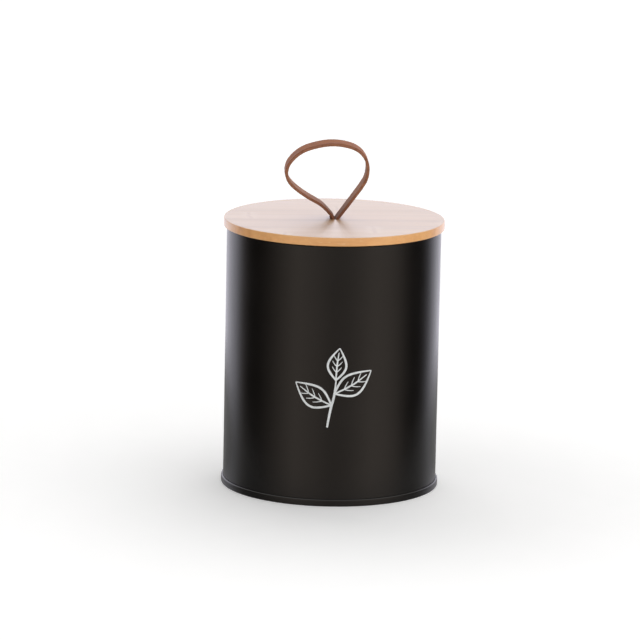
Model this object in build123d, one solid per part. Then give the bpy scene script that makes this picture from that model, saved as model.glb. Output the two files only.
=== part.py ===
from build123d import *
import math
import os

# A round steel canister with a plug-in bamboo lid and a leather pull loop.
# The origin is the middle of the base, where it stands. +Z is up and the front faces -Y.
# All sizes are in millimetres. Small bends in the round pieces are drawn as short flats,
# because the great radius would turn each small arc into thousands of facets.

# Steel body
body_radius = 55.0  # outside of the wall
body_height = 134.0  # from the table to the top of the turned-in rim
sheet = 0.3  # steel sheet
fold_gap = 0.05  # daylight between folded layers
rim_width = 1.4  # from the wall's outside to the mouth
rim_depth = 8.0  # reach of the rim's inner leg

# Double seam round the base
seam_height = 3.6
hook_overlap = 1.9  # length that the two hooks share inside the seam

# Base panel
panel_rise = 4.6  # underside of the panel above the table

# Lock seam down the back of the wall
lock_width = 5.0
lock_setback = 0.8  # from the end of a hook to the fold that holds it
lock_margin = 0.8  # from the seam's ends to the rim's leg and to the base panel

# Lid disc
lid_overhang = 1.6  # past the wall
lid_thickness = 4.4
lid_easing = 0.6  # chamfer round the top edge
lid_rest = 0.3  # daylight between the disc and the rim

# Lid plug and seal
plug_thickness = 9.0
plug_clearance = 1.2  # from the plug to the mouth
plug_lead = 1.0  # chamfer that guides the plug in
seal_height = 5.0
seal_seat = 2.6  # depth of the groove that holds the seal
seal_fit = 0.1  # daylight between the seal and its groove
fin_reach = 0.3  # daylight between the fins and the mouth
fin_height = 1.0  # at its root

# Leather strap
strap_width = 10.0
strap_thickness = 1.5
strap_parting = 0.2  # between the two legs in the slot
loop_height = 38.6  # the strap's middle line above the lid
loop_width = 42.5
mouth_bend = 3.0  # where a leg leaves the slot
left_mouth_rise = 0.9  # from the lid's top up to the left leg's corner
right_mouth_drop = 0.5  # from the lid's top down to the right leg's corner
bend_reach = 0.49  # the part of a side that one bend may take, so that two bends never meet
tail_length = 15.0  # from the middle to each end, under the plug
tail_corner = 3.0  # rounded corners of the ends

# Slot through the lid
slot_side = 0.75  # daylight beside the legs
slot_end = 0.4  # daylight at the strap's edges
slot_corner = 1.0  # radius
slot_easing = 0.8  # chamfer at both mouths

# Screws and washers
screw_shank = 2.5  # diameter
screw_length = 8.0  # under the head
screw_point = 1.6
screw_head = 5.0
head_height = 1.8
washer_diameter = 7.0
washer_thickness = 0.8
hole_clearance = 0.1  # round the shank, in the washer and the leather
pilot_clearance = 0.05  # round the shank, in the plug
pilot_spare = 0.6  # past the screw's point
screw_inset = 4.5  # from a strap end to its screw

# Heights and radii that follow from the sizes above
layer = sheet + fold_gap
mouth_radius = body_radius - rim_width
disc_bottom = body_height + lid_rest
disc_top = disc_bottom + lid_thickness
disc_radius = body_radius + lid_overhang
plug_bottom = disc_bottom - plug_thickness
plug_radius = mouth_radius - plug_clearance
groove_radius = plug_radius - seal_seat
groove_floor = disc_bottom - seal_height - 2 * seal_fit
leg_offset = (strap_thickness + strap_parting) / 2
slot_width = 2 * (leg_offset + strap_thickness / 2 + slot_side)
slot_length = strap_width + 2 * slot_end
tail_bend = slot_side + slot_easing + strap_thickness / 2
tail_middle = plug_bottom - strap_thickness / 2
tail_bottom = plug_bottom - strap_thickness
screw_x = tail_length - screw_inset
screw_seat = tail_bottom - washer_thickness
hole_radius = screw_shank / 2 + hole_clearance

# The double seam holds five layers. From the inside out their middle lines are the base end's
# chuck wall, the body wall, the base end's hook, the body's hook and the seaming wall.
wall_middle = body_radius - sheet / 2
chuck_middle = wall_middle - layer
end_hook_middle = wall_middle + layer
body_hook_middle = wall_middle + 2 * layer
seaming_middle = wall_middle + 3 * layer
seam_floor = sheet / 2
seam_ceiling = seam_height - sheet / 2
body_hook_floor = seam_floor + layer
hook_slack = (seam_ceiling - body_hook_floor - 2 * layer - hook_overlap) / 2
body_hook_tip = seam_ceiling - layer - hook_slack + sheet / 2
end_hook_tip = body_hook_floor + layer + hook_slack - sheet / 2


def spun(profile):
    """Turn a flat profile, drawn as radius and height, about the canister's axis."""
    return revolve(Plane.XZ * profile, Axis.Z)


def bent_sheet(points):
    """A strip of the steel sheet along its middle line, with sharp folds."""
    return trace(Polyline(*points), sheet)


def eased(profile, corner):
    """Take the sharp edge off a profile at the corner nearest to the given place."""
    place = Vector(*corner)
    nearest = min(profile.vertices(), key=lambda v: (Vector(*v) - place).length)
    return chamfer(nearest, sheet)


def body_wall():
    """The wall with its turned-in rim, the hook at its foot and the lock seam at the back."""
    rim_middle = body_height - sheet / 2
    leg_middle = mouth_radius + sheet / 2
    leg_foot = body_height - rim_depth
    profile = bent_sheet(
        [
            (leg_middle, leg_foot),
            (leg_middle, rim_middle),
            (wall_middle, rim_middle),
            (wall_middle, body_hook_floor),
            (body_hook_middle, body_hook_floor),
            (body_hook_middle, body_hook_tip),
        ]
    )
    profile = eased(profile, (body_radius, body_height))
    seam_foot = panel_rise + sheet + lock_margin
    seam_head = leg_foot - lock_margin
    wall = spun(profile)
    return wall - lock_slit(seam_foot, seam_head) + lock_seam(seam_foot, seam_head)


def lock_angle(distance):
    """Degrees round the wall from the middle of the back, for a distance along it."""
    return 90 - math.degrees(distance / wall_middle)


def lock_arc(depth, start, end):
    """One layer of the lock seam, so many layers inside the wall, between two distances."""
    first, last = lock_angle(end), lock_angle(start)
    return trace(CenterArc((0, 0), wall_middle - depth * layer, first, last - first), sheet)


def lock_fold(shallow, deep, place):
    """A fold across the layers of the lock seam, from one depth to another."""
    across = math.radians(lock_angle(place))
    ends = [wall_middle - shallow * layer + sheet / 2, wall_middle - deep * layer - sheet / 2]
    near, far = [(radius * math.cos(across), radius * math.sin(across)) for radius in ends]
    return trace(Line(near, far), sheet)


def lock_seam(foot, head):
    """Two interlocked hooks: one edge folds in at the right, the other steps in under it."""
    right = lock_width / 2
    left = -lock_width / 2
    first_hook = lock_fold(0, 2, right) + lock_arc(2, left + lock_setback, right)
    second_step = lock_fold(0, 3, right + layer) + lock_arc(3, left, right + layer)
    second_hook = lock_fold(1, 3, left) + lock_arc(1, left, right - lock_setback)
    plan = first_hook + second_step + second_hook
    return Pos(0, 0, foot) * extrude(plan, head - foot)


def lock_slit(foot, head):
    """The fine gap that shows outside, between the fold and the step."""
    across = lock_angle(lock_width / 2 + layer / 2)
    box = Box(4 * sheet, fold_gap, head - foot, align=(Align.CENTER, Align.CENTER, Align.MIN))
    return Pos(0, 0, foot) * Rot(0, 0, across) * Pos(wall_middle, 0, 0) * box


def base_end():
    """The pressed end: recessed panel, chuck wall, seaming wall and hook."""
    panel_middle = panel_rise + sheet / 2
    profile = bent_sheet(
        [
            (0, panel_middle),
            (chuck_middle, panel_middle),
            (chuck_middle, seam_floor),
            (seaming_middle, seam_floor),
            (seaming_middle, seam_ceiling),
            (end_hook_middle, seam_ceiling),
            (end_hook_middle, end_hook_tip),
        ]
    )
    return spun(eased(profile, (seaming_middle + sheet / 2, seam_height)))


def slot_cutter(mouth, depth):
    """The slot for the strap, long side towards the front, widened at the mouth it opens by."""
    outline = RectangleRounded(slot_width, slot_length, slot_corner)
    spread = 2 * slot_easing
    wide = RectangleRounded(slot_width + spread, slot_length + spread, slot_corner + slot_easing)
    inward = math.copysign(slot_easing, depth)
    flare = loft([Pos(0, 0, mouth) * wide, Pos(0, 0, mouth + inward) * outline])
    return Pos(0, 0, mouth) * extrude(outline, depth) + flare


def lid_disc():
    """The bamboo disc that covers the mouth, eased round its top edge."""
    outline = Polyline(
        (0, disc_bottom),
        (disc_radius, disc_bottom),
        (disc_radius, disc_top - lid_easing),
        (disc_radius - lid_easing, disc_top),
        (0, disc_top),
        close=True,
    )
    return spun(make_face(outline)) - slot_cutter(disc_top, -lid_thickness)


def lid_plug():
    """The smaller disc glued underneath, with a neck for the seal and holes for the screws."""
    outline = Polyline(
        (0, disc_bottom),
        (groove_radius, disc_bottom),
        (groove_radius, groove_floor),
        (plug_radius, groove_floor),
        (plug_radius, plug_bottom + plug_lead),
        (plug_radius - plug_lead, plug_bottom),
        (0, plug_bottom),
        close=True,
    )
    reach = screw_seat + screw_length + pilot_spare - plug_bottom
    radius = screw_shank / 2 + pilot_clearance
    pilot = Cylinder(radius, reach, align=(Align.CENTER, Align.CENTER, Align.MIN))
    pilots = [Pos(side * screw_x, 0, plug_bottom) * pilot for side in (-1, 1)]
    return spun(make_face(outline)) - slot_cutter(plug_bottom, plug_thickness) - pilots


def seal_ring():
    """The soft ring round the plug's neck, with a fin at its top and one at its foot."""
    inside = groove_radius + seal_fit
    tip = mouth_radius - fin_reach
    top = disc_bottom - seal_fit
    foot = top - seal_height
    outline = Polyline(
        (inside, foot),
        (tip, foot),
        (plug_radius, foot + fin_height),
        (plug_radius, top - fin_height),
        (tip, top),
        (inside, top),
        close=True,
    )
    return spun(make_face(outline))


def strap_line():
    """The strap's middle line in the upright plane, from one end under the plug to the other."""
    shares = [
        (-0.163, 0.19),
        (-0.383, 0.323),
        (-0.658, 0.579),
        (-0.48, 0.922),
        (-0.023, 1.057),
        (0.343, 0.924),
        (0.401, 0.574),
    ]
    loop = [(across * loop_width, disc_top + up * loop_height) for across, up in shares]
    left_mouth = (-leg_offset, disc_top + left_mouth_rise)
    right_mouth = (leg_offset, disc_top - right_mouth_drop)
    left_tail = [(-tail_length, tail_middle), (-leg_offset, tail_middle)]
    right_tail = [(leg_offset, tail_middle), (tail_length, tail_middle)]
    corners = [left_mouth, *loop, right_mouth]
    bends = [widest_bend(*corners[place - 1 : place + 2]) for place in range(1, len(corners) - 1)]
    radii = [tail_bend, mouth_bend, *bends, mouth_bend, tail_bend]
    return FilletPolyline(*left_tail, *corners, *right_tail, radius=radii)


def widest_bend(before, corner, after):
    """The radius of an arc that starts almost halfway along the shorter side of a corner."""
    back = Vector(*before) - Vector(*corner)
    ahead = Vector(*after) - Vector(*corner)
    half_angle = math.radians(back.get_angle(ahead)) / 2
    return bend_reach * min(back.length, ahead.length) * math.tan(half_angle)


def strap():
    """One leather strip: both ends go down the slot and turn out flat under the plug."""
    side = Plane.XZ * trace(strap_line(), strap_thickness)
    strip = extrude(side, strap_width / 2, both=True)
    ends = strip.edges().filter_by(Axis.Z).group_by(Axis.X)
    strip = fillet([*ends[0], *ends[-1]], tail_corner)
    hole = Pos(0, 0, tail_middle) * Cylinder(hole_radius, 2 * strap_thickness)
    return strip - [Pos(side * screw_x, 0, 0) * hole for side in (-1, 1)]


def screw():
    """A short pan-head wood screw, point up."""
    half_head = screw_head / 2
    outline = Polyline(
        (0, -head_height),
        (half_head, -head_height),
        (half_head, 0),
        (screw_shank / 2, 0),
        (screw_shank / 2, screw_length - screw_point),
        (0, screw_length),
        close=True,
    )
    return Pos(screw_x, 0, screw_seat) * spun(make_face(outline))


def washer():
    """A flat steel ring between a screw's head and the leather."""
    ring = Cylinder(washer_diameter / 2, washer_thickness) - Cylinder(hole_radius, washer_thickness)
    return Pos(screw_x, 0, screw_seat + washer_thickness / 2) * ring


def pair(piece):
    """A piece and its twin, turned half round the lid's middle."""
    return Compound([piece, Rot(0, 0, 180) * piece])


pieces = {
    "body_wall": body_wall(),
    "base_end": base_end(),
    "lid_disc": lid_disc(),
    "lid_plug": lid_plug(),
    "seal_ring": seal_ring(),
    "strap": strap(),
    "strap_washers": pair(washer()),
    "strap_screws": pair(screw()),
}

os.makedirs("parts", exist_ok=True)
for name, piece in pieces.items():
    export_step(piece, f"parts/{name}.step")
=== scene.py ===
import math

import bmesh
import bpy
from mathutils import Matrix, Vector


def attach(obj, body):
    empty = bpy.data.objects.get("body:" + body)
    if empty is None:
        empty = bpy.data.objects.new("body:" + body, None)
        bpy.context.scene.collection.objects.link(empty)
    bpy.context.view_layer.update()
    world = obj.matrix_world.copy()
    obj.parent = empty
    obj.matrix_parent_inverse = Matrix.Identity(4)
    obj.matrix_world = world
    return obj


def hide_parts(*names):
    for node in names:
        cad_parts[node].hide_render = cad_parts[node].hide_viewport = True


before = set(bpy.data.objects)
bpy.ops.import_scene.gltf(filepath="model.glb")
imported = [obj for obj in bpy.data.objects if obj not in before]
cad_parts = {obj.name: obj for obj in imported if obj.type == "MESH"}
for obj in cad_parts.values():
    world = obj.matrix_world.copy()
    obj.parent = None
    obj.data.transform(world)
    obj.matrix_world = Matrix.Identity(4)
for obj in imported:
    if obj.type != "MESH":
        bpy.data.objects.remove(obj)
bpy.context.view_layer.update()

# Pieces are drawn in millimetres and brought to metres when they are finished.
mm = 0.001

# Steel body
wall_outside = 55.0
sheet = 0.3
wall_inside = wall_outside - sheet
rim_top = 134.0
mouth_radius = 53.6
rim_leg_foot = 126.0
lock_width = 5.35
lock_inside = 53.65
lock_foot = 5.7
lock_head = 125.2
lock_line = 2.67  # from the middle of the back to the line that shows outside

# Base seam and panel
seam_inside = 54.35
seam_outside = 56.05
seam_top = 3.6
wall_fold_foot = 0.35  # underside of the wall, where it folds out into its hook
wall_hook_inside = 55.4
wall_hook_top = 3.07
end_hook_inside = 55.03  # the base end's hook goes down between the wall and the wall's hook
end_hook_outside = 55.35
end_hook_foot = 0.87
panel_underside = 4.6

# Lid
disc_radius = 56.6
disc_bottom = 134.3
disc_top = 138.7
plug_radius = 52.4
plug_bottom = 125.3
neck_radius = 49.8
neck_foot = 129.1
seal_inside = 49.9
seal_foot = 129.2
seal_top = 134.2
fin_tip = 53.3
board_core = 12.0  # a board's section is turned from here outwards, round the slot
slot_across = 4.7
slot_along = 10.8
slot_corner = 1.0

# Strap and its fixings
strap_width = 10.0
strap_thickness = 1.5
strap_edge = 0.32
leg_place = 0.85
tail_length = 15.0
tail_height = plug_bottom - strap_thickness / 2
tail_bend = 2.3
tail_corner = 2.7
loop_width = 42.5
loop_height = 38.6
loop_lean = 4.2  # degrees, towards the front
lean_run = 18  # the lean grows from nothing to its full angle in this height
screw_place = 10.5
washer_foot = 123.0
washer_top = 123.8
washer_radius = 3.5
washer_bore = 1.35
head_radius = 2.5
head_foot = 121.2
shank_radius = 1.25
screw_point = 131.0

# Fineness of the meshes
large_steps = 288  # round a large piece
small_steps = 64  # round a washer or a screw
corner_steps = 6  # round a drawn corner
weld = 0.0005  # points of a turned piece that are nearer than this are one


# Drawing pieces


def eased(drawing, parts, kind, offset, steps=corner_steps, fullness=0.5):
    """Round off corners, where the kind is VERTICES, or edges, where it is EDGES."""
    bmesh.ops.bevel(
        drawing,
        geom=parts,
        offset=offset,
        segments=steps,
        profile=fullness,
        affect=kind,
        material=-1,
    )


def chain(drawing, corners, closed=False, fullness=0.5):
    """A line in the upright XZ plane. Each corner is across, up and, if wanted, a rounding."""
    verts = [drawing.verts.new((corner[0], 0, corner[1])) for corner in corners]
    for start, end in zip(verts, verts[1:]):
        drawing.edges.new((start, end))
    if closed:
        drawing.edges.new((verts[-1], verts[0]))
    for vert, corner in zip(verts, corners):
        if len(corner) == 3:
            eased(drawing, [vert], "VERTICES", corner[2], fullness=fullness)


def filled(corners):
    """A flat face in the upright XZ plane."""
    drawing = bmesh.new()
    chain(drawing, corners, closed=True)
    drawing.faces.new(drawing.verts[:])
    return drawing


def spun(drawing, parts, angle, steps, rise=0.0, merged=False):
    """Sweep parts round the upright axis. The rise is for each step."""
    bmesh.ops.spin(
        drawing,
        geom=parts,
        cent=(0, 0, 0),
        axis=(0, 0, 1),
        dvec=(0, 0, rise),
        angle=angle,
        steps=steps,
        use_merge=merged,
    )


def turned(corners, closed=True, steps=large_steps, centre=(0, 0, 0)):
    """A section turned once about an upright axis."""
    drawing = bmesh.new()
    chain(drawing, corners, closed)
    spun(drawing, drawing.verts[:] + drawing.edges[:], math.tau, steps, merged=True)
    bmesh.ops.remove_doubles(drawing, verts=drawing.verts, dist=weld)
    bmesh.ops.recalc_face_normals(drawing, faces=drawing.faces)
    bmesh.ops.translate(drawing, vec=centre, verts=drawing.verts)
    return drawing


def finished(drawing, name, finishes, body, nodes=(), sharp=38):
    """Turn a drawing into a piece that stands for solids and rides with its body.

    Edges between faces that turn by more than the sharp angle, in degrees, stay crisp.
    """
    bmesh.ops.scale(drawing, vec=(mm, mm, mm), verts=drawing.verts)
    mesh = bpy.data.meshes.new(name)
    drawing.to_mesh(mesh)
    drawing.free()
    for finish in finishes:
        mesh.materials.append(finish)
    mesh.shade_smooth()
    mesh.set_sharp_from_angle(angle=math.radians(sharp))
    piece = bpy.data.objects.new(name, mesh)
    bpy.context.scene.collection.objects.link(piece)
    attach(piece, body)
    if nodes:
        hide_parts(*nodes)
    return piece


def even_shading(piece):
    """Keep broad faces flat in shade beside their rounded edges."""
    piece.modifiers.new("even shading", "WEIGHTED_NORMAL").keep_sharp = True


# Finishes, in which lengths are in metres


def new_finish(name):
    """A new material, with its tree of nodes and its main shader."""
    finish = bpy.data.materials.new(name)
    finish.use_nodes = True
    tree = finish.node_tree
    return finish, tree, tree.nodes["Principled BSDF"]


def fill(tree, node, inputs):
    """Give a node's inputs values or other nodes' outputs."""
    for key, value in inputs.items():
        if isinstance(value, bpy.types.NodeSocket):
            tree.links.new(value, node.inputs[key])
        else:
            node.inputs[key].default_value = value


def add(tree, kind, inputs=None, **settings):
    """Add a node, set its settings and fill its inputs."""
    node = tree.nodes.new(kind)
    for key, value in settings.items():
        setattr(node, key, value)
    fill(tree, node, inputs or {})
    return node


def point(tree):
    """The place on the piece, in metres."""
    return add(tree, "ShaderNodeTexCoord").outputs["Object"]


def stretched(tree, scale):
    """The place on the piece, scaled along each axis for a grain that runs one way."""
    return add(tree, "ShaderNodeMapping", {"Vector": point(tree), "Scale": scale}).outputs["Vector"]


def split(tree, vector):
    """The X, Y and Z of a vector."""
    return add(tree, "ShaderNodeSeparateXYZ", {"Vector": vector}).outputs


def away_from(tree, place, centre):
    """The distance from a centre."""
    node = add(tree, "ShaderNodeVectorMath", {0: place, 1: centre}, operation="DISTANCE")
    return node.outputs["Value"]


def noise(tree, vector, scale, detail=2.0, roughness=0.5, distortion=0.0):
    """A noise value from 0 to 1."""
    node = add(
        tree,
        "ShaderNodeTexNoise",
        {
            "Vector": vector,
            "Scale": scale,
            "Detail": detail,
            "Roughness": roughness,
            "Distortion": distortion,
        },
    )
    return node.outputs["Fac"]


def spread(tree, value, taken, given, smooth=False):
    """Carry a value from the range that is taken to the range that is given."""
    node = add(
        tree,
        "ShaderNodeMapRange",
        {
            "Value": value,
            "From Min": taken[0],
            "From Max": taken[1],
            "To Min": given[0],
            "To Max": given[1],
        },
        interpolation_type="SMOOTHSTEP" if smooth else "LINEAR",
    )
    return node.outputs["Result"]


def calc(tree, operation, first, second=0.0):
    """One step of arithmetic."""
    return add(tree, "ShaderNodeMath", {0: first, 1: second}, operation=operation).outputs[0]


def weighted(tree, first, first_share, second, second_share):
    """The sum of two values, each times its share."""
    return calc(
        tree,
        "ADD",
        calc(tree, "MULTIPLY", first, first_share),
        calc(tree, "MULTIPLY", second, second_share),
    )


def blended(tree, share, first, second, way="MIX"):
    """Mix two colours."""
    node = add(tree, "ShaderNodeMix", {0: share, 6: first, 7: second}, data_type="RGBA", blend_type=way)
    return node.outputs[2]


def tones(tree, value, stops):
    """A run of colours along a value."""
    ramp = add(tree, "ShaderNodeValToRGB", {"Fac": value})
    band = ramp.color_ramp
    while len(band.elements) < len(stops):
        band.elements.new(0.5)
    for element, (place, colour) in zip(band.elements, stops):
        element.position = place
        element.color = (*colour, 1)
    return ramp.outputs["Color"]


def relief(tree, shader, heights, depth, strength, socket="Normal"):
    """Raise a surface by a height value, with its full depth in metres."""
    bump = add(tree, "ShaderNodeBump", {"Height": heights, "Distance": depth, "Strength": strength})
    fill(tree, shader, {socket: bump.outputs["Normal"]})


def powder_coat():
    """Black powder coat with a satin sheen and a very fine orange peel."""
    finish, tree, shader = new_finish("black_powder_coat")
    place = point(tree)
    peel = noise(tree, place, scale=900)
    grit = noise(tree, place, scale=3200, detail=1.0)
    cloud = noise(tree, place, scale=34, detail=3.0, roughness=0.55)
    tone = tones(tree, cloud, [(0.3, (0.0029, 0.0024, 0.0021)), (0.75, (0.0046, 0.0038, 0.0033))])
    fleck = spread(tree, grit, (0.66, 0.8), (0, 0.5), smooth=True)
    grey_fleck = (0.012, 0.0115, 0.011, 1)
    colour = blended(tree, fleck, tone, grey_fleck)
    broad = spread(tree, cloud, (0.3, 0.7), (0.19, 0.24))
    fine = spread(tree, grit, (0.3, 0.7), (-0.02, 0.03))
    dullness = calc(tree, "ADD", broad, fine)
    fill(tree, shader, {"Base Color": colour, "Roughness": dullness, "IOR": 1.6})
    heights = weighted(tree, peel, 1.0, grit, 0.35)
    relief(tree, shader, heights, depth=0.000008, strength=0.5)
    return finish


def bamboo_knuckles(tree, along, chance, colour):
    """Draw a pale band with a thin dark line across each strip, at a place of the strip's own."""
    pitch = 0.145
    unevenness = 0.0016
    pale = (0.75, 0.53, 0.31, 1)
    brown = (0.5, 0.29, 0.15, 1)
    ragged = noise(tree, point(tree), scale=160)
    wobble = spread(tree, ragged, (0, 1), (-unevenness, unevenness))
    shifted = calc(tree, "ADD", calc(tree, "ADD", along, wobble), calc(tree, "MULTIPLY", chance, pitch))
    turn = calc(tree, "FRACT", calc(tree, "DIVIDE", shifted, pitch))
    off_middle = calc(tree, "ABSOLUTE", calc(tree, "SUBTRACT", turn, 0.5))
    off = calc(tree, "MULTIPLY", off_middle, pitch)
    line = spread(tree, off, (0.0003, 0.0016), (1, 0), smooth=True)
    band = spread(tree, off, (0.001, 0.006), (0.35, 0), smooth=True)
    colour = blended(tree, band, colour, pale)
    return blended(tree, calc(tree, "MULTIPLY", line, 0.4), colour, brown)


def bamboo_end_grain(tree, tone):
    """The redder wood of the turned edge, with light and dark flecks."""
    light_fleck = (0.93, 0.66, 0.38, 1)
    dark_fleck = (0.56, 0.23, 0.07, 1)
    colour = tones(
        tree,
        tone,
        [
            (0.28, (0.62, 0.27, 0.085)),
            (0.45, (0.76, 0.37, 0.125)),
            (0.6, (0.82, 0.42, 0.15)),
            (0.78, (0.87, 0.485, 0.19)),
        ],
    )
    flecks = noise(tree, stretched(tree, (0.35, 1, 1)), scale=1000)
    light = spread(tree, flecks, (0.62, 0.74), (0, 0.3), smooth=True)
    dark = spread(tree, flecks, (0.28, 0.4), (0.22, 0), smooth=True)
    colour = blended(tree, light, colour, light_fleck)
    return blended(tree, dark, colour, dark_fleck)


def bamboo(name, varnished):
    """Strips of bamboo laid side by side, with long fibres along X and a knuckle here and there."""
    finish, tree, shader = new_finish(name)
    along, over = split(tree, point(tree))[:2]
    strip_width = 0.0188
    strips_start = 0.2493  # from the first strip's side to the middle of the lid
    joint_colour = (0.48, 0.29, 0.16, 1)
    pore_colour = (0.5, 0.3, 0.16, 1)
    count = calc(tree, "DIVIDE", calc(tree, "ADD", over, strips_start), strip_width)
    strip = calc(tree, "FLOOR", count)
    within = calc(tree, "FRACT", count)
    chance = add(tree, "ShaderNodeTexWhiteNoise", {"W": strip}, noise_dimensions="1D").outputs["Value"]
    fibres = noise(
        tree, stretched(tree, (9, 420, 420)), scale=1.0, detail=4.0, roughness=0.6, distortion=0.15
    )
    streaks = noise(tree, stretched(tree, (3.2, 95, 95)), scale=1.0, detail=3.0, distortion=0.2)
    pores = noise(tree, stretched(tree, (28, 1500, 1500)), scale=1.0, detail=1.0)
    tone = weighted(tree, fibres, 0.5, streaks, 0.5)
    tone = calc(tree, "ADD", tone, spread(tree, chance, (0, 1), (-0.055, 0.055)))
    # The wood's own tone, made paler and greyer than the turned edge's: a painted sheen, in place of
    # part of the white gleam that the top shows.
    colour = tones(
        tree,
        tone,
        [
            (0.28, (0.49, 0.285, 0.13)),
            (0.45, (0.61, 0.385, 0.195)),
            (0.6, (0.67, 0.435, 0.235)),
            (0.78, (0.73, 0.5, 0.29)),
        ],
    )
    colour = bamboo_knuckles(tree, along, chance, colour)
    to_joint = calc(tree, "MINIMUM", within, calc(tree, "SUBTRACT", 1.0, within))
    joint = spread(tree, to_joint, (0.002, 0.012), (0.45, 0), smooth=True)
    colour = blended(tree, joint, colour, joint_colour)
    dots = spread(tree, pores, (0.6, 0.72), (0, 0.3), smooth=True)
    colour = blended(tree, dots, colour, pore_colour)
    radius = calc(tree, "SQRT", weighted(tree, along, along, over, over))
    turned_edge = ((disc_radius - 0.4) * mm, (disc_radius - 0.15) * mm)
    end_grain = spread(tree, radius, turned_edge, (0, 1), smooth=True)
    colour = blended(tree, end_grain, colour, bamboo_end_grain(tree, tone))
    heights = calc(tree, "SUBTRACT", fibres, weighted(tree, dots, 1.0, joint, 0.6))
    dullness = spread(tree, fibres, (0.3, 0.7), (0.32, 0.42) if varnished else (0.5, 0.64))
    fill(tree, shader, {"Base Color": colour, "Roughness": dullness})
    if varnished:
        fill(tree, shader, {"Coat Weight": 1.0, "Coat Roughness": 0.27, "Coat IOR": 1.55})
        relief(tree, shader, heights, depth=0.00002, strength=0.5)
        relief(tree, shader, heights, depth=0.000008, strength=0.3, socket="Coat Normal")
    else:
        relief(tree, shader, heights, depth=0.00003, strength=0.7)
    return finish


def painted_fold_shade(tree, colour):
    """Darken the leather towards the slot with painted shade, where the strap's legs close in on each
    other.
    """
    # The painted shade's colour: strongest just above the lid, gone 15 mm up.
    painted_shade_colour = (0.15, 0.045, 0.02, 1)
    height = split(tree, point(tree))["Z"]
    folded = ((disc_top + 2) * mm, (disc_top + 15) * mm)
    share = spread(tree, height, folded, (0.7, 0), smooth=True)
    return blended(tree, share, colour, painted_shade_colour)


def darker_strap_sides(tree, place, colour):
    """Darken the leather along both sides of the strip, which leans towards the front."""
    # A darker colour along both sides of the strip's face.
    side_darkening_colour = (0.23, 0.075, 0.034, 1)
    parts = split(tree, place)
    above = calc(tree, "MAXIMUM", calc(tree, "SUBTRACT", parts["Z"], disc_top * mm), 0.0)
    leaned = calc(tree, "MULTIPLY", above, math.sin(math.radians(loop_lean)))
    off_middle = calc(tree, "ABSOLUTE", calc(tree, "ADD", parts["Y"], leaned))
    side = strap_width / 2
    share = spread(tree, off_middle, ((side - 1.4) * mm, (side - 0.5) * mm), (0, 0.75), smooth=True)
    return blended(tree, share, colour, side_darkening_colour)


def leather_grain():
    """The smooth outer side: tan, waxed, with fine pores and creases."""
    finish, tree, shader = new_finish("leather_grain_side")
    place = point(tree)
    mottle = noise(tree, place, scale=150, detail=4.0, roughness=0.6)
    cells = add(
        tree, "ShaderNodeTexVoronoi", {"Vector": place, "Scale": 1900.0}, feature="DISTANCE_TO_EDGE"
    )
    creases = spread(tree, cells.outputs["Distance"], (0, 0.12), (0, 1), smooth=True)
    colour = tones(
        tree,
        mottle,
        [(0.3, (0.26, 0.08, 0.024)), (0.5, (0.36, 0.12, 0.037)), (0.72, (0.455, 0.168, 0.057))],
    )
    crease_share = spread(tree, creases, (0, 1), (0.4, 0))
    crease_colour = (0.2, 0.075, 0.03, 1)
    colour = blended(tree, crease_share, colour, crease_colour)
    # Darker along both sides of the strip, and painted shade towards the slot.
    colour = painted_fold_shade(tree, darker_strap_sides(tree, place, colour))
    dullness = spread(tree, mottle, (0.3, 0.7), (0.44, 0.56))
    fill(tree, shader, {"Base Color": colour, "Roughness": dullness, "Specular IOR Level": 0.1})
    relief(tree, shader, calc(tree, "ADD", creases, mottle), depth=0.00004, strength=0.5)
    return finish


def leather_flesh():
    """The inner side: paler, matt and a little fibrous."""
    finish, tree, shader = new_finish("leather_flesh_side")
    fibres = noise(tree, point(tree), scale=1300, detail=4.0, roughness=0.7, distortion=0.6)
    mottle = noise(tree, point(tree), scale=210, detail=3.0)
    colour = tones(
        tree,
        weighted(tree, fibres, 0.6, mottle, 0.4),
        [(0.32, (0.24, 0.09, 0.045)), (0.52, (0.35, 0.145, 0.078)), (0.7, (0.44, 0.2, 0.115))],
    )
    # The base colour carries painted shade towards the slot.
    fill(
        tree,
        shader,
        {
            "Base Color": painted_fold_shade(tree, colour),
            "Roughness": 0.82,
            "Sheen Weight": 0.15,
            "Sheen Roughness": 0.4,
        },
    )
    relief(tree, shader, fibres, depth=0.00012, strength=0.7)
    return finish


def leather_edge():
    """The cut edge: dark, dyed and burnished."""
    finish, tree, shader = new_finish("leather_burnished_edge")
    layers = noise(tree, point(tree), scale=700, detail=3.0, roughness=0.6)
    colour = tones(tree, layers, [(0.3, (0.22, 0.082, 0.038)), (0.7, (0.34, 0.14, 0.07))])
    dullness = spread(tree, layers, (0.3, 0.7), (0.34, 0.5))
    # The base colour carries painted shade towards the slot.
    fill(tree, shader, {"Base Color": painted_fold_shade(tree, colour), "Roughness": dullness})
    relief(tree, shader, layers, depth=0.00004, strength=0.5)
    return finish


def silicone():
    """Milky, soft silicone with a faint bloom on its surface."""
    finish, tree, shader = new_finish("milky_silicone")
    bloom = noise(tree, point(tree), scale=240, detail=3.0)
    colour = tones(tree, bloom, [(0.3, (0.74, 0.74, 0.72)), (0.7, (0.82, 0.82, 0.8))])
    dullness = spread(tree, bloom, (0.3, 0.7), (0.34, 0.48))
    fill(
        tree,
        shader,
        {
            "Base Color": colour,
            "Roughness": dullness,
            "Subsurface Weight": 0.5,
            "Subsurface Scale": 0.002,
            "IOR": 1.41,
        },
    )
    relief(tree, shader, bloom, depth=0.00002, strength=0.3)
    return finish


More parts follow.
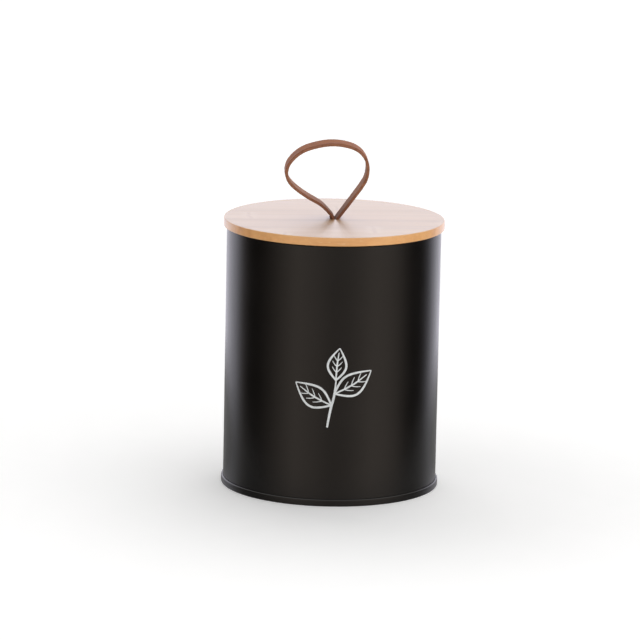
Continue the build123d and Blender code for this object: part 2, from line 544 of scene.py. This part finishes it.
def plated_steel():
    """Zinc-plated steel, brushed by the lathe, with cloudy plating."""
    finish, tree, shader = new_finish("zinc_plated_steel")
    brushed = noise(tree, stretched(tree, (1, 1, 14)), scale=420, detail=3.0, roughness=0.6)
    cloud = noise(tree, point(tree), scale=300, detail=3.0)
    colour = tones(tree, cloud, [(0.3, (0.48, 0.48, 0.46)), (0.7, (0.66, 0.66, 0.64))])
    dullness = spread(tree, brushed, (0.3, 0.7), (0.24, 0.4))
    fill(tree, shader, {"Base Color": colour, "Roughness": dullness, "Metallic": 1.0})
    relief(tree, shader, brushed, depth=0.00002, strength=0.4)
    return finish


def screen_ink():
    """White screen-printed ink, a little uneven where it was pressed on."""
    finish, tree, shader = new_finish("white_screen_ink")
    grain = noise(tree, point(tree), scale=1600)
    cover = noise(tree, point(tree), scale=260, detail=3.0)
    colour = tones(tree, cover, [(0.3, (0.62, 0.64, 0.64)), (0.7, (0.74, 0.76, 0.76))])
    fill(tree, shader, {"Base Color": colour, "Roughness": spread(tree, grain, (0.3, 0.7), (0.44, 0.6))})
    relief(tree, shader, grain, depth=0.00001, strength=0.4)
    return finish


coat = powder_coat()
varnished_bamboo = bamboo("varnished_bamboo", True)
oiled_bamboo = bamboo("oiled_bamboo", False)
grain_side = leather_grain()
flesh_side = leather_flesh()
burnished_edge = leather_edge()
soft_silicone = silicone()
zinc = plated_steel()
ink = screen_ink()


# Canister


def press_lock_line(wall):
    """Press the line where the sheet goes in to the lock seam, and the slight step beside it."""
    plain_sheet = lock_line - 0.37
    groove_brink = lock_line - 0.11
    groove_half = 0.03
    groove_depth = 0.22
    step_place = lock_line + 0.13
    step_depth = 0.05
    margin = 0.5
    patch_half = 6  # only the faces this near to the middle of the back are cut
    groove = [lock_line - groove_half, lock_line + groove_half]
    uprights = [plain_sheet, groove_brink, *groove, step_place]
    levels = [lock_foot - margin, lock_foot, lock_head, lock_head + margin]
    cuts = [((across, 0, 0), (1, 0, 0)) for across in uprights]
    cuts += [((0, 0, height), (0, 0, 1)) for height in levels]
    for place, way in cuts:
        back = [face for face in wall.faces if face.calc_center_median().y > wall_inside - 5]
        near = [face for face in back if abs(face.calc_center_median().x) < patch_half]
        edges = {edge for face in near for edge in face.edges}
        verts = {vert for face in near for vert in face.verts}
        bmesh.ops.bisect_plane(
            wall, geom=[*near, *edges, *verts], dist=0.0001, plane_co=place, plane_no=way
        )
    reach = 0.01
    outer = [
        vert
        for vert in wall.verts
        if vert.co.y > wall_inside + 0.1 and lock_foot - reach < vert.co.z < lock_head + reach
    ]
    for place, depth in ((lock_line, groove_depth), (step_place, step_depth)):
        line = [vert for vert in outer if abs(vert.co.x - place) < 0.05]
        bmesh.ops.translate(wall, vec=(0, -depth, 0), verts=line)


def body_wall():
    """The wall: rim turned in at the top, hook turned out at the foot, and the lock seam's line."""
    rim_rounding = 0.7
    rim_hollow = 0.4
    apart = 0.02  # keeps two roundings on one short stretch from meeting
    fold = 0.25
    fold_top = wall_fold_foot + sheet
    hook_outside = wall_hook_inside + sheet
    leg_inside = mouth_radius + sheet
    under_rim = rim_top - sheet
    section = [
        (mouth_radius, rim_leg_foot),
        (mouth_radius, rim_top, rim_rounding - apart),
        (wall_outside, rim_top, rim_rounding),
        (wall_outside, fold_top, fold),
        (wall_hook_inside, fold_top),
        (wall_hook_inside, wall_hook_top),
        (hook_outside, wall_hook_top),
        (hook_outside, wall_fold_foot, fold),
        (wall_inside, wall_fold_foot, fold),
        (wall_inside, under_rim, rim_hollow),
        (leg_inside, under_rim, rim_hollow - apart),
        (leg_inside, rim_leg_foot),
    ]
    wall = turned(section)
    press_lock_line(wall)
    even_shading(finished(wall, "wall_and_rim", [coat], "canister", ["body_wall"]))


def lock_seam():
    """The folded layers of the lock seam, standing inside the wall."""
    outside = wall_inside + 0.02  # a little way into the wall, so that no gap shows
    fold = 0.3
    drawing = filled(
        [(lock_inside, lock_foot), (outside, lock_foot), (outside, lock_head), (lock_inside, lock_head)]
    )
    span = lock_width / wall_inside
    spun(drawing, drawing.faces[:], span, steps=8)
    bmesh.ops.recalc_face_normals(drawing, faces=drawing.faces)
    turn = Matrix.Rotation(math.pi / 2 - span / 2, 3, "Z")
    bmesh.ops.rotate(drawing, cent=(0, 0, 0), matrix=turn, verts=drawing.verts)
    sharp = [edge for edge in drawing.edges if edge.calc_face_angle(0) > 1]
    eased(drawing, sharp, "EDGES", fold, steps=4)
    even_shading(finished(drawing, "wall_lock_seam", [coat], "canister", ["body_wall"]))


def base_end():
    """The pressed base end with its rolled seam, chuck wall and beaded panel."""
    panel_top = panel_underside + sheet
    bead_inside = 33.0
    bead_outside = 43.2
    bead_slope = 1.2
    bead_depth = 0.55
    bead_rounding = 0.5
    chuck_bend = 1.1
    crown = 0.04
    corner_inset = 0.08

    def bead(height):
        return [
            (bead_inside, height, bead_rounding),
            (bead_inside + bead_slope, height - bead_depth, bead_rounding),
            (bead_outside - bead_slope, height - bead_depth, bead_rounding),
            (bead_outside, height, bead_rounding),
        ]

    section = [
        (0, panel_underside),
        *bead(panel_underside),
        (seam_inside, panel_underside, chuck_bend),
        (seam_inside, 0, 0.3),
        (seam_outside - corner_inset, 0, 0.42),
        (seam_outside + crown, seam_top / 2, 0.9),
        (seam_outside - corner_inset, seam_top, 0.7),
        (end_hook_inside, seam_top, 0.2),
        (end_hook_inside, end_hook_foot),
        (end_hook_outside, end_hook_foot),
        (end_hook_outside, seam_top - sheet),
        (seam_outside - sheet, seam_top - sheet),
        (seam_outside - sheet, sheet),
        (seam_inside + sheet, sheet),
        (seam_inside + sheet, panel_top, chuck_bend + sheet),
        *reversed(bead(panel_top)),
        (0, panel_top),
    ]
    drawing = turned(section, closed=False)
    even_shading(finished(drawing, "base_end_and_seam", [coat], "canister", ["base_end"]))


# Lid


def slotted_board(section, faces):
    """A turned board with the strap's slot through it, from one of its faces to the other."""
    drawing = turned(section, closed=False)
    for height in faces:
        slot = bmesh.ops.create_grid(drawing, x_segments=1, y_segments=1, size=0.5)["verts"]
        bmesh.ops.scale(drawing, vec=(slot_across, slot_along, 1), verts=slot)
        bmesh.ops.translate(drawing, vec=(0, 0, height), verts=slot)
        eased(drawing, slot, "VERTICES", slot_corner)
    # Only the slot's two rounded outlines have more than four corners.
    slots = [face for face in drawing.faces if len(face.verts) > 4]
    rings = [{*face.edges} for face in slots]
    bmesh.ops.delete(drawing, geom=slots, context="FACES_ONLY")
    bmesh.ops.bridge_loops(drawing, edges=[*rings[0], *rings[1]])
    for ring in rings:
        height = next(iter(ring)).verts[0].co.z
        core = [
            edge
            for edge in drawing.edges
            if edge.is_boundary
            and all(abs(vert.co.z - height) < 0.001 for vert in edge.verts)
            and all(abs(vert.co.xy.length - board_core) < 0.01 for vert in edge.verts)
        ]
        bmesh.ops.bridge_loops(drawing, edges=[*core, *ring])
    bmesh.ops.recalc_face_normals(drawing, faces=drawing.faces)
    return drawing


def lid_disc():
    """The bamboo disc, rounded at its top edge and eased below."""
    section = [
        (board_core, disc_top),
        (disc_radius, disc_top, 0.6),
        (disc_radius, disc_bottom, 0.35),
        (board_core, disc_bottom),
    ]
    drawing = slotted_board(section, (disc_top, disc_bottom))
    even_shading(finished(drawing, "lid_board", [varnished_bamboo], "lid", ["lid_disc"]))


def lid_plug():
    """The smaller board under the lid, with a neck for the seal."""
    section = [
        (board_core, disc_bottom),
        (neck_radius, disc_bottom),
        (neck_radius, neck_foot, 0.15),
        (plug_radius, neck_foot, 0.3),
        (plug_radius, plug_bottom, 1.0),
        (board_core, plug_bottom),
    ]
    drawing = slotted_board(section, (plug_bottom, disc_bottom))
    even_shading(finished(drawing, "plug_board", [oiled_bamboo], "lid", ["lid_plug"]))


def seal_ring():
    """The silicone ring, with a soft fin at its top and one at its foot."""
    hollow = plug_radius - 0.6
    fin_back = fin_tip - 0.1
    fin_height = 0.45
    fin_root = 1.3
    section = [
        (seal_inside, seal_foot, 0.2),
        (fin_tip, seal_foot, 0.18),
        (fin_back, seal_foot + fin_height, 0.2),
        (hollow, seal_foot + fin_root, 0.5),
        (hollow, seal_top - fin_root, 0.5),
        (fin_back, seal_top - fin_height, 0.2),
        (fin_tip, seal_top, 0.18),
        (seal_inside, seal_top, 0.2),
    ]
    finished(turned(section), "seal_ring_soft", [soft_silicone], "lid", ["seal_ring"])


def strap_line():
    """The strap's middle line, seen from the front: its corners with the roundings of its bends."""
    loop_shares = [
        (-0.149, 0.188),
        (-0.383, 0.323),
        (-0.658, 0.579),
        (-0.48, 0.922),
        (-0.02, 1.056),
        (0.352, 0.926),
        (0.411, 0.574),
    ]
    loop = [(across * loop_width, disc_top + up * loop_height) for across, up in loop_shares]
    left_mouth = (-leg_place, disc_top + 0.9)
    right_mouth = (leg_place, disc_top - 0.5)
    left_rounding = 1.2
    right_rounding = 1.0
    bend_share = 0.49  # of the shorter stretch beside a bend
    line = [left_mouth, *loop, right_mouth]
    lengths = [math.dist(start, end) for start, end in zip(line, line[1:])]
    bends = [bend_share * min(pair) for pair in zip(lengths, lengths[1:])]
    roundings = [left_rounding, *bends, right_rounding]
    return [
        (-tail_length, tail_height),
        (-leg_place, tail_height, tail_bend),
        *[(*place, rounding) for place, rounding in zip(line, roundings)],
        (leg_place, tail_height, tail_bend),
        (tail_length, tail_height),
    ]


def strap():
    """The leather strap: up out of the slot, round in a loop and down again, both ends turned out."""
    drawing = bmesh.new()
    bend_fullness = 0.56  # a round bend has 0.5
    chain(drawing, strap_line(), fullness=bend_fullness)
    # Above the lid's slot, the bends run into each other.
    free = [vert for vert in drawing.verts if vert.co.z > disc_top + 3]
    for _ in range(3):
        bmesh.ops.smooth_vert(
            drawing, verts=free, factor=0.5, use_axis_x=True, use_axis_y=False, use_axis_z=True
        )
    shortest_step = 0.16
    bmesh.ops.remove_doubles(drawing, verts=drawing.verts, dist=shortest_step)
    bmesh.ops.translate(drawing, vec=(0, -strap_width / 2, 0), verts=drawing.verts)
    rows = 3
    edges = drawing.edges[:]
    for _ in range(rows):
        wider = bmesh.ops.extrude_edge_only(drawing, edges=edges)["geom"]
        verts = [part for part in wider if isinstance(part, bmesh.types.BMVert)]
        edges = [part for part in wider if isinstance(part, bmesh.types.BMEdge)]
        bmesh.ops.translate(drawing, vec=(0, strap_width / rows, 0), verts=verts)
    bmesh.ops.recalc_face_normals(drawing, faces=drawing.faces)
    tips = [
        vert
        for vert in drawing.verts
        if vert.co.z < tail_height + 0.1
        and abs(vert.co.x) > tail_length - 0.1
        and abs(vert.co.y) > strap_width / 2 - 0.1
    ]
    eased(drawing, tips, "VERTICES", tail_corner)
    foot = Vector((0, 0, disc_top))
    for vert in drawing.verts:
        share = min(max((vert.co.z - disc_top) / lean_run, 0), 1)
        lean = Matrix.Rotation(math.radians(loop_lean) * share, 3, "X")
        vert.co = foot + lean @ (vert.co - foot)
    sides = [grain_side, flesh_side, burnished_edge]
    piece = finished(drawing, "strap_loop", sides, "lid", ["strap"], sharp=60)
    body = piece.modifiers.new("thickness", "SOLIDIFY")
    body.thickness = strap_thickness * mm
    body.offset = 0
    body.material_offset = sides.index(flesh_side)
    body.material_offset_rim = sides.index(burnished_edge)
    edge = piece.modifiers.new("soft edges", "BEVEL")
    edge.width = strap_edge * mm
    edge.segments = 3
    edge.limit_method = "ANGLE"
    edge.angle_limit = math.radians(50)
    edge.use_clamp_overlap = False
    even_shading(piece)


def washers():
    """Two steel washers under the strap's ends."""
    section = [
        (washer_bore, washer_foot, 0.12),
        (washer_radius, washer_foot, 0.22),
        (washer_radius, washer_top, 0.12),
        (washer_bore, washer_top, 0.12),
    ]
    for side, name in ((-1, "left_washer"), (1, "right_washer")):
        drawing = turned(section, steps=small_steps, centre=(side * screw_place, 0, 0))
        even_shading(finished(drawing, name, [zinc], "lid", ["strap_washers"]))


def screw_thread():
    """The rolled thread that both screws have, as a mesh."""
    root = 0.9
    crest = shank_radius - 0.01
    foot = washer_foot + 1.6
    half_height = 0.22
    pitch = 1.1
    turns = 4
    steps = 24  # in a turn
    ridge = filled([(root, foot), (crest, foot + half_height), (root, foot + 2 * half_height)])
    spun(ridge, ridge.faces[:], math.tau * turns, steps * turns, rise=pitch / steps)
    bmesh.ops.recalc_face_normals(ridge, faces=ridge.faces)
    thread = bpy.data.meshes.new("thread")
    ridge.to_mesh(thread)
    ridge.free()
    return thread


def screws():
    """Two short pan-head wood screws with a straight slot and a rolled thread."""
    core_radius = 0.95
    section = [
        (0, head_foot),
        (head_radius - 0.6, head_foot, 1.1),
        (head_radius, washer_foot - 0.25, 0.35),
        (head_radius, washer_foot, 0.08),
        (core_radius, washer_foot, 0.1),
        (core_radius, screw_point - 1.8, 0.4),
        (0, screw_point),
    ]
    slot_half = 0.32
    slot_slope = 0.03
    slot_depth = 0.75
    thread = screw_thread()
    for side, name, slot_turn in ((-1, "left_screw", 24), (1, "right_screw", -52)):
        drawing = turned(section, closed=False, steps=small_steps)
        for away in (slot_half, slot_half + slot_slope, -slot_half, -slot_half - slot_slope):
            bmesh.ops.bisect_plane(
                drawing,
                geom=drawing.verts[:] + drawing.edges[:] + drawing.faces[:],
                dist=0.0001,
                plane_co=(0, away, 0),
                plane_no=(0, 1, 0),
            )
        for vert in drawing.verts:
            if abs(vert.co.y) < slot_half + 0.01 and vert.co.z < head_foot + 1.3:
                vert.co.z = max(vert.co.z, head_foot + slot_depth)
        drawing.from_mesh(thread)
        turn = Matrix.Rotation(math.radians(slot_turn), 3, "Z")
        bmesh.ops.rotate(drawing, cent=(0, 0, 0), matrix=turn, verts=drawing.verts)
        bmesh.ops.translate(drawing, vec=(side * screw_place, 0, 0), verts=drawing.verts)
        even_shading(finished(drawing, name, [zinc], "lid", ["strap_screws"]))
    bpy.data.meshes.remove(thread)


# Print


def ink_stroke(drawing, points, width):
    """Add one stroke of ink through points given as place along the wall and height."""
    data = bpy.data.curves.new("stroke", "CURVE")
    data.dimensions = "3D"
    data.resolution_u = 10
    data.bevel_depth = width / 2
    data.bevel_resolution = 3
    data.use_fill_caps = True
    line = data.splines.new("NURBS")
    line.points.add(len(points) - 1)
    for spot, (along, height) in zip(line.points, points):
        spot.co = (along, 0, height, 1)
    line.points[0].radius = 0.8
    line.points[-1].radius = 0.45
    line.order_u = 3
    line.use_endpoint_u = True
    stroke = bpy.data.objects.new("stroke", data)
    mesh = bpy.data.meshes.new_from_object(stroke)
    drawing.from_mesh(mesh)
    bpy.data.objects.remove(stroke)
    bpy.data.curves.remove(data)
    bpy.data.meshes.remove(mesh)


def leaf(start, towards, length, breadth, bend):
    """The strokes of one leaf: its two edges, its midrib and three pairs of side veins."""
    turn = Matrix.Rotation(math.radians(towards), 2)
    edge_width = 1.15
    midrib_width = 0.9
    vein_width = 0.6
    edge_shape = [(0, 0), (0.16, 0.62), (0.42, 1.16), (0.74, 0.72), (1, 0)]

    def placed(along, aside):
        curve = bend * math.sin(math.pi * along) * breadth
        spot = turn @ Vector((along * length, aside * breadth / 2 + curve))
        return (start[0] + spot.x, start[1] + spot.y)

    strokes = []
    for side in (-1, 1):
        strokes.append(([placed(along, side * aside) for along, aside in edge_shape], edge_width))
    strokes.append(([placed(along, 0) for along in (0, 0.3, 0.6, 0.86)], midrib_width))
    for along in (0.24, 0.42, 0.6):
        for side in (-1, 1):
            reach = side * (0.66 - 0.35 * abs(along - 0.4))
            vein = [(along, 0), (along + 0.07, reach * 0.5), (along + 0.17, reach * 0.86)]
            strokes.append(([placed(*spot) for spot in vein], vein_width))
    return strokes


def leaf_sprig():
    """A plain sprig of three leaves, printed in white where the wall faces the front."""
    middle_along = -1.7
    middle_height = 61.0
    ink_height = 0.035
    flatness = 0.06
    stem_width = 1.3
    strokes = [([(-3.5, -20), (-2.2, -11), (0.2, -3), (0.6, 5)], stem_width)]
    strokes += leaf((0.5, 4.5), towards=84, length=16.5, breadth=9.0, bend=0.04)
    strokes += leaf((0.0, -2.5), towards=32, length=22.0, breadth=10.5, bend=-0.1)
    strokes += leaf((-1.6, -8.5), towards=149, length=21.5, breadth=10.5, bend=0.1)
    drawing = bmesh.new()
    for points, width in strokes:
        ink_stroke(drawing, points, width)
    bmesh.ops.scale(drawing, vec=(1, flatness, 1), verts=drawing.verts)
    for vert in drawing.verts:
        angle = (vert.co.x + middle_along) / wall_outside
        radius = wall_outside + max(min(-vert.co.y, ink_height), -ink_height)
        vert.co = (radius * math.sin(angle), -radius * math.cos(angle), vert.co.z + middle_height)
    finished(drawing, "leaf_sprig_print", [ink], "canister")


body_wall()
lock_seam()
base_end()
leaf_sprig()
lid_disc()
lid_plug()
seal_ring()
strap()
washers()
screws()


# Studio


camera_turn = math.radians(-3.8)  # the camera stands a little to the left of the front


def camera():
    """The camera from which the lid's and the base's outlines match the photograph."""
    body_unit = wall_outside * mm
    distance = 42.5 * body_unit
    height = 10.272 * body_unit
    down = math.radians(11.603)
    sideways = math.radians(-0.155)
    roll = math.radians(1.152)
    focal_pixels = 4636.1
    photo_pixels = 640
    ahead = Vector(
        (math.sin(sideways) * math.cos(down), math.cos(sideways) * math.cos(down), -math.sin(down))
    )
    right = Vector((math.cos(sideways), -math.sin(sideways), 0))
    up = right.cross(ahead)
    rolled_right = math.cos(roll) * right + math.sin(roll) * up
    rolled_up = math.cos(roll) * up - math.sin(roll) * right
    view = Matrix((rolled_right, rolled_up, -ahead)).transposed().to_4x4()
    view.translation = Vector((0, -distance, height))
    data = bpy.data.cameras.new("camera")
    data.sensor_width = 36
    data.lens = focal_pixels * data.sensor_width / photo_pixels
    data.clip_end = 50
    lens = bpy.data.objects.new("camera", data)
    lens.matrix_world = Matrix.Rotation(camera_turn, 4, "Z") @ view
    bpy.context.scene.collection.objects.link(lens)
    bpy.context.scene.camera = lens


def white_table():
    """White with a faint lift for the camera, weaker near the canister: a painted shadow round its foot.
    Gloss sees a darker painted copy of it, and only near the canister.
    """
    finish, tree, shader = new_finish("white_table")
    place = point(tree)
    rays = add(tree, "ShaderNodeLightPath").outputs
    grain = noise(tree, place, scale=60)
    shade = tones(tree, grain, [(0.3, (0.935, 0.93, 0.925)), (0.7, (0.955, 0.95, 0.945))])
    # Painted reflection: gloss sees the table in this darker tone.
    painted_reflection_tone = (0.42, 0.415, 0.41, 1)
    # The camera's lift is weaker round this middle, which paints shadow round the canister's foot.
    shadow_middle = (0.03, -0.03, 0)
    lift_with_painted_shadow = spread(
        tree, away_from(tree, place, shadow_middle), (0.05, 0.22), (0.205, 0.31), smooth=True
    )
    fill(
        tree,
        shader,
        {
            "Base Color": blended(tree, rays["Is Glossy Ray"], shade, painted_reflection_tone),
            "Roughness": 0.8,
            "Specular IOR Level": 0.0,
            "Emission Color": (1, 1, 1, 1),
            "Emission Strength": calc(tree, "MULTIPLY", rays["Is Camera Ray"], lift_with_painted_shadow),
        },
    )
    mirrored_middle = (0, 0.15, 0)
    far = spread(tree, away_from(tree, place, mirrored_middle), (0.14, 0.27), (0, 1))
    share = calc(tree, "MULTIPLY", rays["Is Glossy Ray"], far)
    clear = add(tree, "ShaderNodeBsdfTransparent").outputs["BSDF"]
    shown = add(tree, "ShaderNodeMixShader", {0: share, 1: shader.outputs["BSDF"], 2: clear})
    fill(tree, tree.nodes["Material Output"], {"Surface": shown.outputs["Shader"]})
    return finish


def table_top():
    """The table that the canister stands on, which keeps its shadow."""
    half_width = 9  # metres, past everything that the camera sees
    drawing = bmesh.new()
    bmesh.ops.create_grid(drawing, x_segments=8, y_segments=8, size=half_width)
    mesh = bpy.data.meshes.new("table_top")
    drawing.to_mesh(mesh)
    drawing.free()
    mesh.materials.append(white_table())
    top = bpy.data.objects.new("table_top", mesh)
    bpy.context.scene.collection.objects.link(top)


def mirrored_ring(tree, degrees, up):
    """What gloss shows all round: white behind, dark boards to the sides and soft lights in front."""
    white_behind_left = [(-180, 1.0), (-137, 1.0), (-126, 0.8)]
    dark_board_left = [(-116, 0.34), (-109, 0.13), (-101, 0.03), (-92, 0.02), (-81, 0.05)]
    soft_light_left = [(-67, 0.17), (-52, 0.34), (-39, 0.49), (-15, 0.37)]
    dim_by_camera = [(2, 0.25), (19, 0.29)]
    soft_light_right = [(46, 0.5), (62, 0.44), (78, 0.26)]
    dark_board_right = [(86, 0.11), (95, 0.03), (106, 0.02), (116, 0.08)]
    white_behind_right = [(125, 0.29), (134, 0.68), (145, 0.97), (180, 1.0)]
    ring = [
        *white_behind_left,
        *dark_board_left,
        *soft_light_left,
        *dim_by_camera,
        *soft_light_right,
        *dark_board_right,
        *white_behind_right,
    ]
    share = spread(tree, degrees, (-180, 180), (0, 1))
    around = tones(tree, share, [((place + 180) / 360, (tone, tone, tone)) for place, tone in ring])
    front = spread(tree, calc(tree, "ABSOLUTE", degrees), (100, 125), (1, 0), smooth=True)
    cool_behind = (1.17, 1.15, 1.28, 1)
    warm_in_front = (1.13, 0.96, 0.83, 1)
    tint = blended(tree, front, cool_behind, warm_in_front)
    overhead = spread(tree, up, (0.48, 0.72), (0, 1), smooth=True)
    return blended(tree, overhead, blended(tree, 1.0, around, tint, "MULTIPLY"), (0.9, 0.89, 0.87, 1))


def soft_dome(tree, across, over, up):
    """The light itself: dim from above, and low down stronger from the right and from the front."""
    top_light = 0.28
    sideways = spread(tree, across, (-1, 1), (0.42, 2.08))
    lengthways = spread(tree, over, (-1, 1), (0.4, -0.3))
    low_light = calc(tree, "ADD", sideways, lengthways)
    low = spread(tree, up, (0.35, 0.75), (1, 0), smooth=True)
    extra = calc(tree, "MULTIPLY", low, calc(tree, "SUBTRACT", low_light, top_light))
    return calc(tree, "ADD", extra, top_light)


def surroundings():
    """Plain white for the camera, a soft dome that lights, and a ring of lights for gloss."""
    world = bpy.data.worlds.new("studio")
    bpy.context.scene.world = world
    world.use_nodes = True
    tree = world.node_tree
    way = add(tree, "ShaderNodeTexCoord").outputs["Generated"]
    across, over, up = split(tree, way)
    angle = calc(tree, "ARCTAN2", across, calc(tree, "MULTIPLY", over, -1.0))
    degrees = calc(tree, "MULTIPLY", angle, 180 / math.pi)
    degrees = calc(tree, "ADD", degrees, -math.degrees(camera_turn))
    rays = add(tree, "ShaderNodeLightPath").outputs
    dome = soft_dome(tree, across, over, up)
    light = blended(tree, rays["Is Glossy Ray"], dome, mirrored_ring(tree, degrees, up))
    shown = blended(tree, rays["Is Camera Ray"], light, (1, 1, 1, 1))
    fill(tree, tree.nodes["Background"], {"Color": shown, "Strength": 1.0})


def lamp(name, azimuth, elevation, strength, softness):
    """A distant lamp, its place and softness in degrees. Gloss shows the surroundings instead of it."""
    data = bpy.data.lights.new(name, "SUN")
    data.energy = strength
    data.angle = math.radians(softness)
    light = bpy.data.objects.new(name, data)
    turn = math.radians(azimuth)
    rise = math.radians(elevation)
    towards = Vector((math.sin(turn) * math.cos(rise), -math.cos(turn) * math.cos(rise), math.sin(rise)))
    light.matrix_world = towards.to_track_quat("Z", "Y").to_matrix().to_4x4()
    light.visible_glossy = False
    bpy.context.scene.collection.objects.link(light)


camera()
table_top()
surroundings()
lamp("behind", azimuth=178, elevation=50, strength=0.8, softness=60)
bpy.context.scene.view_settings.view_transform = "Standard"
